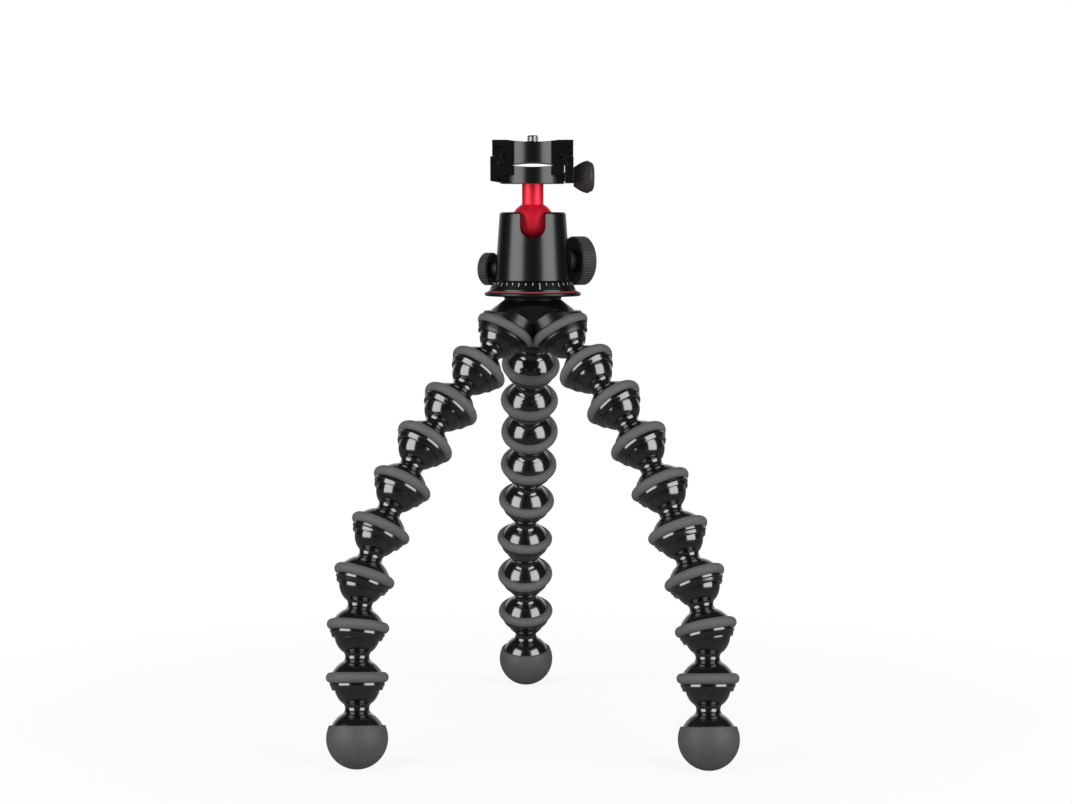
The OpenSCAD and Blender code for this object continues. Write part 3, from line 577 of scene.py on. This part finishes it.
def prism(name, outline, low, high):
    """A flat outline of (x, y), drawn anticlockwise, raised straight up from low to high."""
    count = len(outline)
    points = np.concatenate([np.c_[outline, np.full(count, low)], np.c_[outline, np.full(count, high)]])
    at = np.arange(count)
    on = (at + 1) % count
    sides = np.stack([at, on, on + count, at + count], axis=-1).tolist()
    mesh = bpy.data.meshes.new(name)
    mesh.from_pydata(points.tolist(), [], sides + [at[::-1].tolist(), (at + count).tolist()])
    piece = bpy.data.objects.new(name, mesh)
    scene.collection.objects.link(piece)
    return piece


for name in ("clamp_body", "clamp_jaw", "plate"):
    finish_node(name, black_anodised)
for name in ("clamp_bolt", "guide_pins", "clamp_screw"):
    finish_node(name, bright_steel)
jaw_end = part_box("clamp_body")[0][0]
jaw_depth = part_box("clamp_jaw")[1][1]
clamp_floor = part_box("clamp_jaw")[1][2] - JAW_RISE
lip_inner = JAW_SLOPE - DOVETAIL_HALF
lip_outline = np.array([
    [jaw_end, LIP_SEAT], [-DOVETAIL_HALF - LIP_OVERLAP / 2, JAW_FOOT - LIP_OVERLAP],
    [-DOVETAIL_HALF, JAW_FOOT], [lip_inner, JAW_FOOT + JAW_SLOPE],
    [lip_inner, JAW_RISE], [jaw_end, JAW_RISE]])
jaw_lip = prism("fixed_jaw_lip", lip_outline + [0, clamp_floor], -jaw_depth, jaw_depth)
jaw_lip.data.transform(Matrix.Rotation(np.pi / 2, 4, "X"))
jaw_lip.data.materials.append(black_anodised)
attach(jaw_lip, "clamp")

# Clamp knob
# Moulded in the same dark rubberised plastic: a ribbed swell from the jaw to the rim, and a narrower
# domed cap behind it, on the steel clamp screw.
KNOB_ROOT_R = 0.00525
KNOB_RIM_R = 0.009
KNOB_CAP_R = 0.0083
KNOB_SWELL = 0.0083
KNOB_GROOVE = 0.0004
CAP_STEP = 0.0002
KNOB_LENGTH = 0.0116
KNOB_RIBS = 40
RIB_DEPTH = 0.00022


def ribbed_knob(name, at, steps):
    """Knob along the x axis: from root to rim the radius grows with the sine of the length, less a rib
    wave of the turn; the cap behind it is a dome, cos(t) to the power 0.5 wide and sin(t) long."""
    turn = 2 * np.pi * np.arange(steps) / steps
    rise = np.linspace(0.0, 1.0, 40)
    fall = np.radians(np.linspace(0.0, 90.0, 24))
    swell_r = KNOB_ROOT_R + (KNOB_RIM_R - KNOB_ROOT_R) * np.sin(rise * np.pi / 2)
    groove_end = KNOB_SWELL + KNOB_GROOVE
    cap_start = groove_end + CAP_STEP
    cap_r = KNOB_CAP_R * np.clip(np.cos(fall), 0.0, None) ** 0.5
    cap_along = cap_start + (KNOB_LENGTH - cap_start) * np.sin(fall)
    along = np.concatenate([[0.0], rise * KNOB_SWELL, [groove_end], cap_along])
    radius = np.concatenate([[0.0], swell_r, [KNOB_CAP_R], cap_r])
    cut = np.concatenate([[0.0], np.clip(rise * 8.0, 0.0, 1.0), np.zeros(len(fall) + 1)])
    wave = np.clip(0.5 + 0.9 * np.cos(KNOB_RIBS * turn), 0.0, 1.0)
    radius = radius[:, None] - RIB_DEPTH * cut[:, None] * (1.0 - wave)
    points = np.stack([along[:, None] + 0 * radius, radius * np.cos(turn), radius * np.sin(turn)], axis=-1)
    faces = wrapped_quads(len(along) - 1, steps, len(along))
    return grid_piece(name, points.reshape(-1, 3) + np.asarray(at, float), faces)


knob_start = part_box("clamp_knob")[0][0]
knob = ribbed_knob("clamp_knob_grip", (knob_start, 0, joints["clamp_knob_turn"]["pos_m"][2]), steps=480)
knob.data.materials.append(knob_rubber)
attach(knob, "clamp_knob")
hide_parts("clamp_knob")

# Camera screw
# Steel screw held captive in the plate: a flat head with a coin slot underneath, a thin shank and a
# short standard thread that stands up from the plate's dish.
SCREW_HEAD_R = 0.0068
SCREW_HEAD_H = 0.0026
SLOT_HALF = 0.0008
SLOT_DEPTH = 0.0012
THREAD_L = 0.0037
SHANK_R = 0.0024
SHANK_SHORT = 0.001
HEAD_EASE = 0.0002
screw_low, screw_high = (corner[2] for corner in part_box("camera_screw"))
screw_parts = [threaded("camera_screw_thread", -THREAD_L, 0.0, (0, 0, screw_high))]
head_profile = np.array([
    [0, SLOT_DEPTH], [SCREW_HEAD_R, SLOT_DEPTH], [SCREW_HEAD_R, SCREW_HEAD_H - HEAD_EASE],
    [SCREW_HEAD_R - HEAD_EASE, SCREW_HEAD_H], [SHANK_R, SCREW_HEAD_H],
    [SHANK_R, screw_high - screw_low - SHANK_SHORT]])
screw_parts.append(turned("camera_screw_head", head_profile, (0, 0, screw_low), (0, 0, 1), steps=72))
edge = np.arcsin(SLOT_HALF / SCREW_HEAD_R)
sweep = np.linspace(edge, np.pi - edge, 40)
half_round = SCREW_HEAD_R * np.stack([np.cos(sweep), np.sin(sweep)], axis=1)
screw_parts.append(prism("camera_screw_slot_back", half_round, screw_low, screw_low + SLOT_DEPTH))
screw_parts.append(prism("camera_screw_slot_front", -half_round, screw_low, screw_low + SLOT_DEPTH))
for part in screw_parts:
    part.data.materials.append(bright_steel)
    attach(part, "camera_screw")
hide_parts("camera_screw")
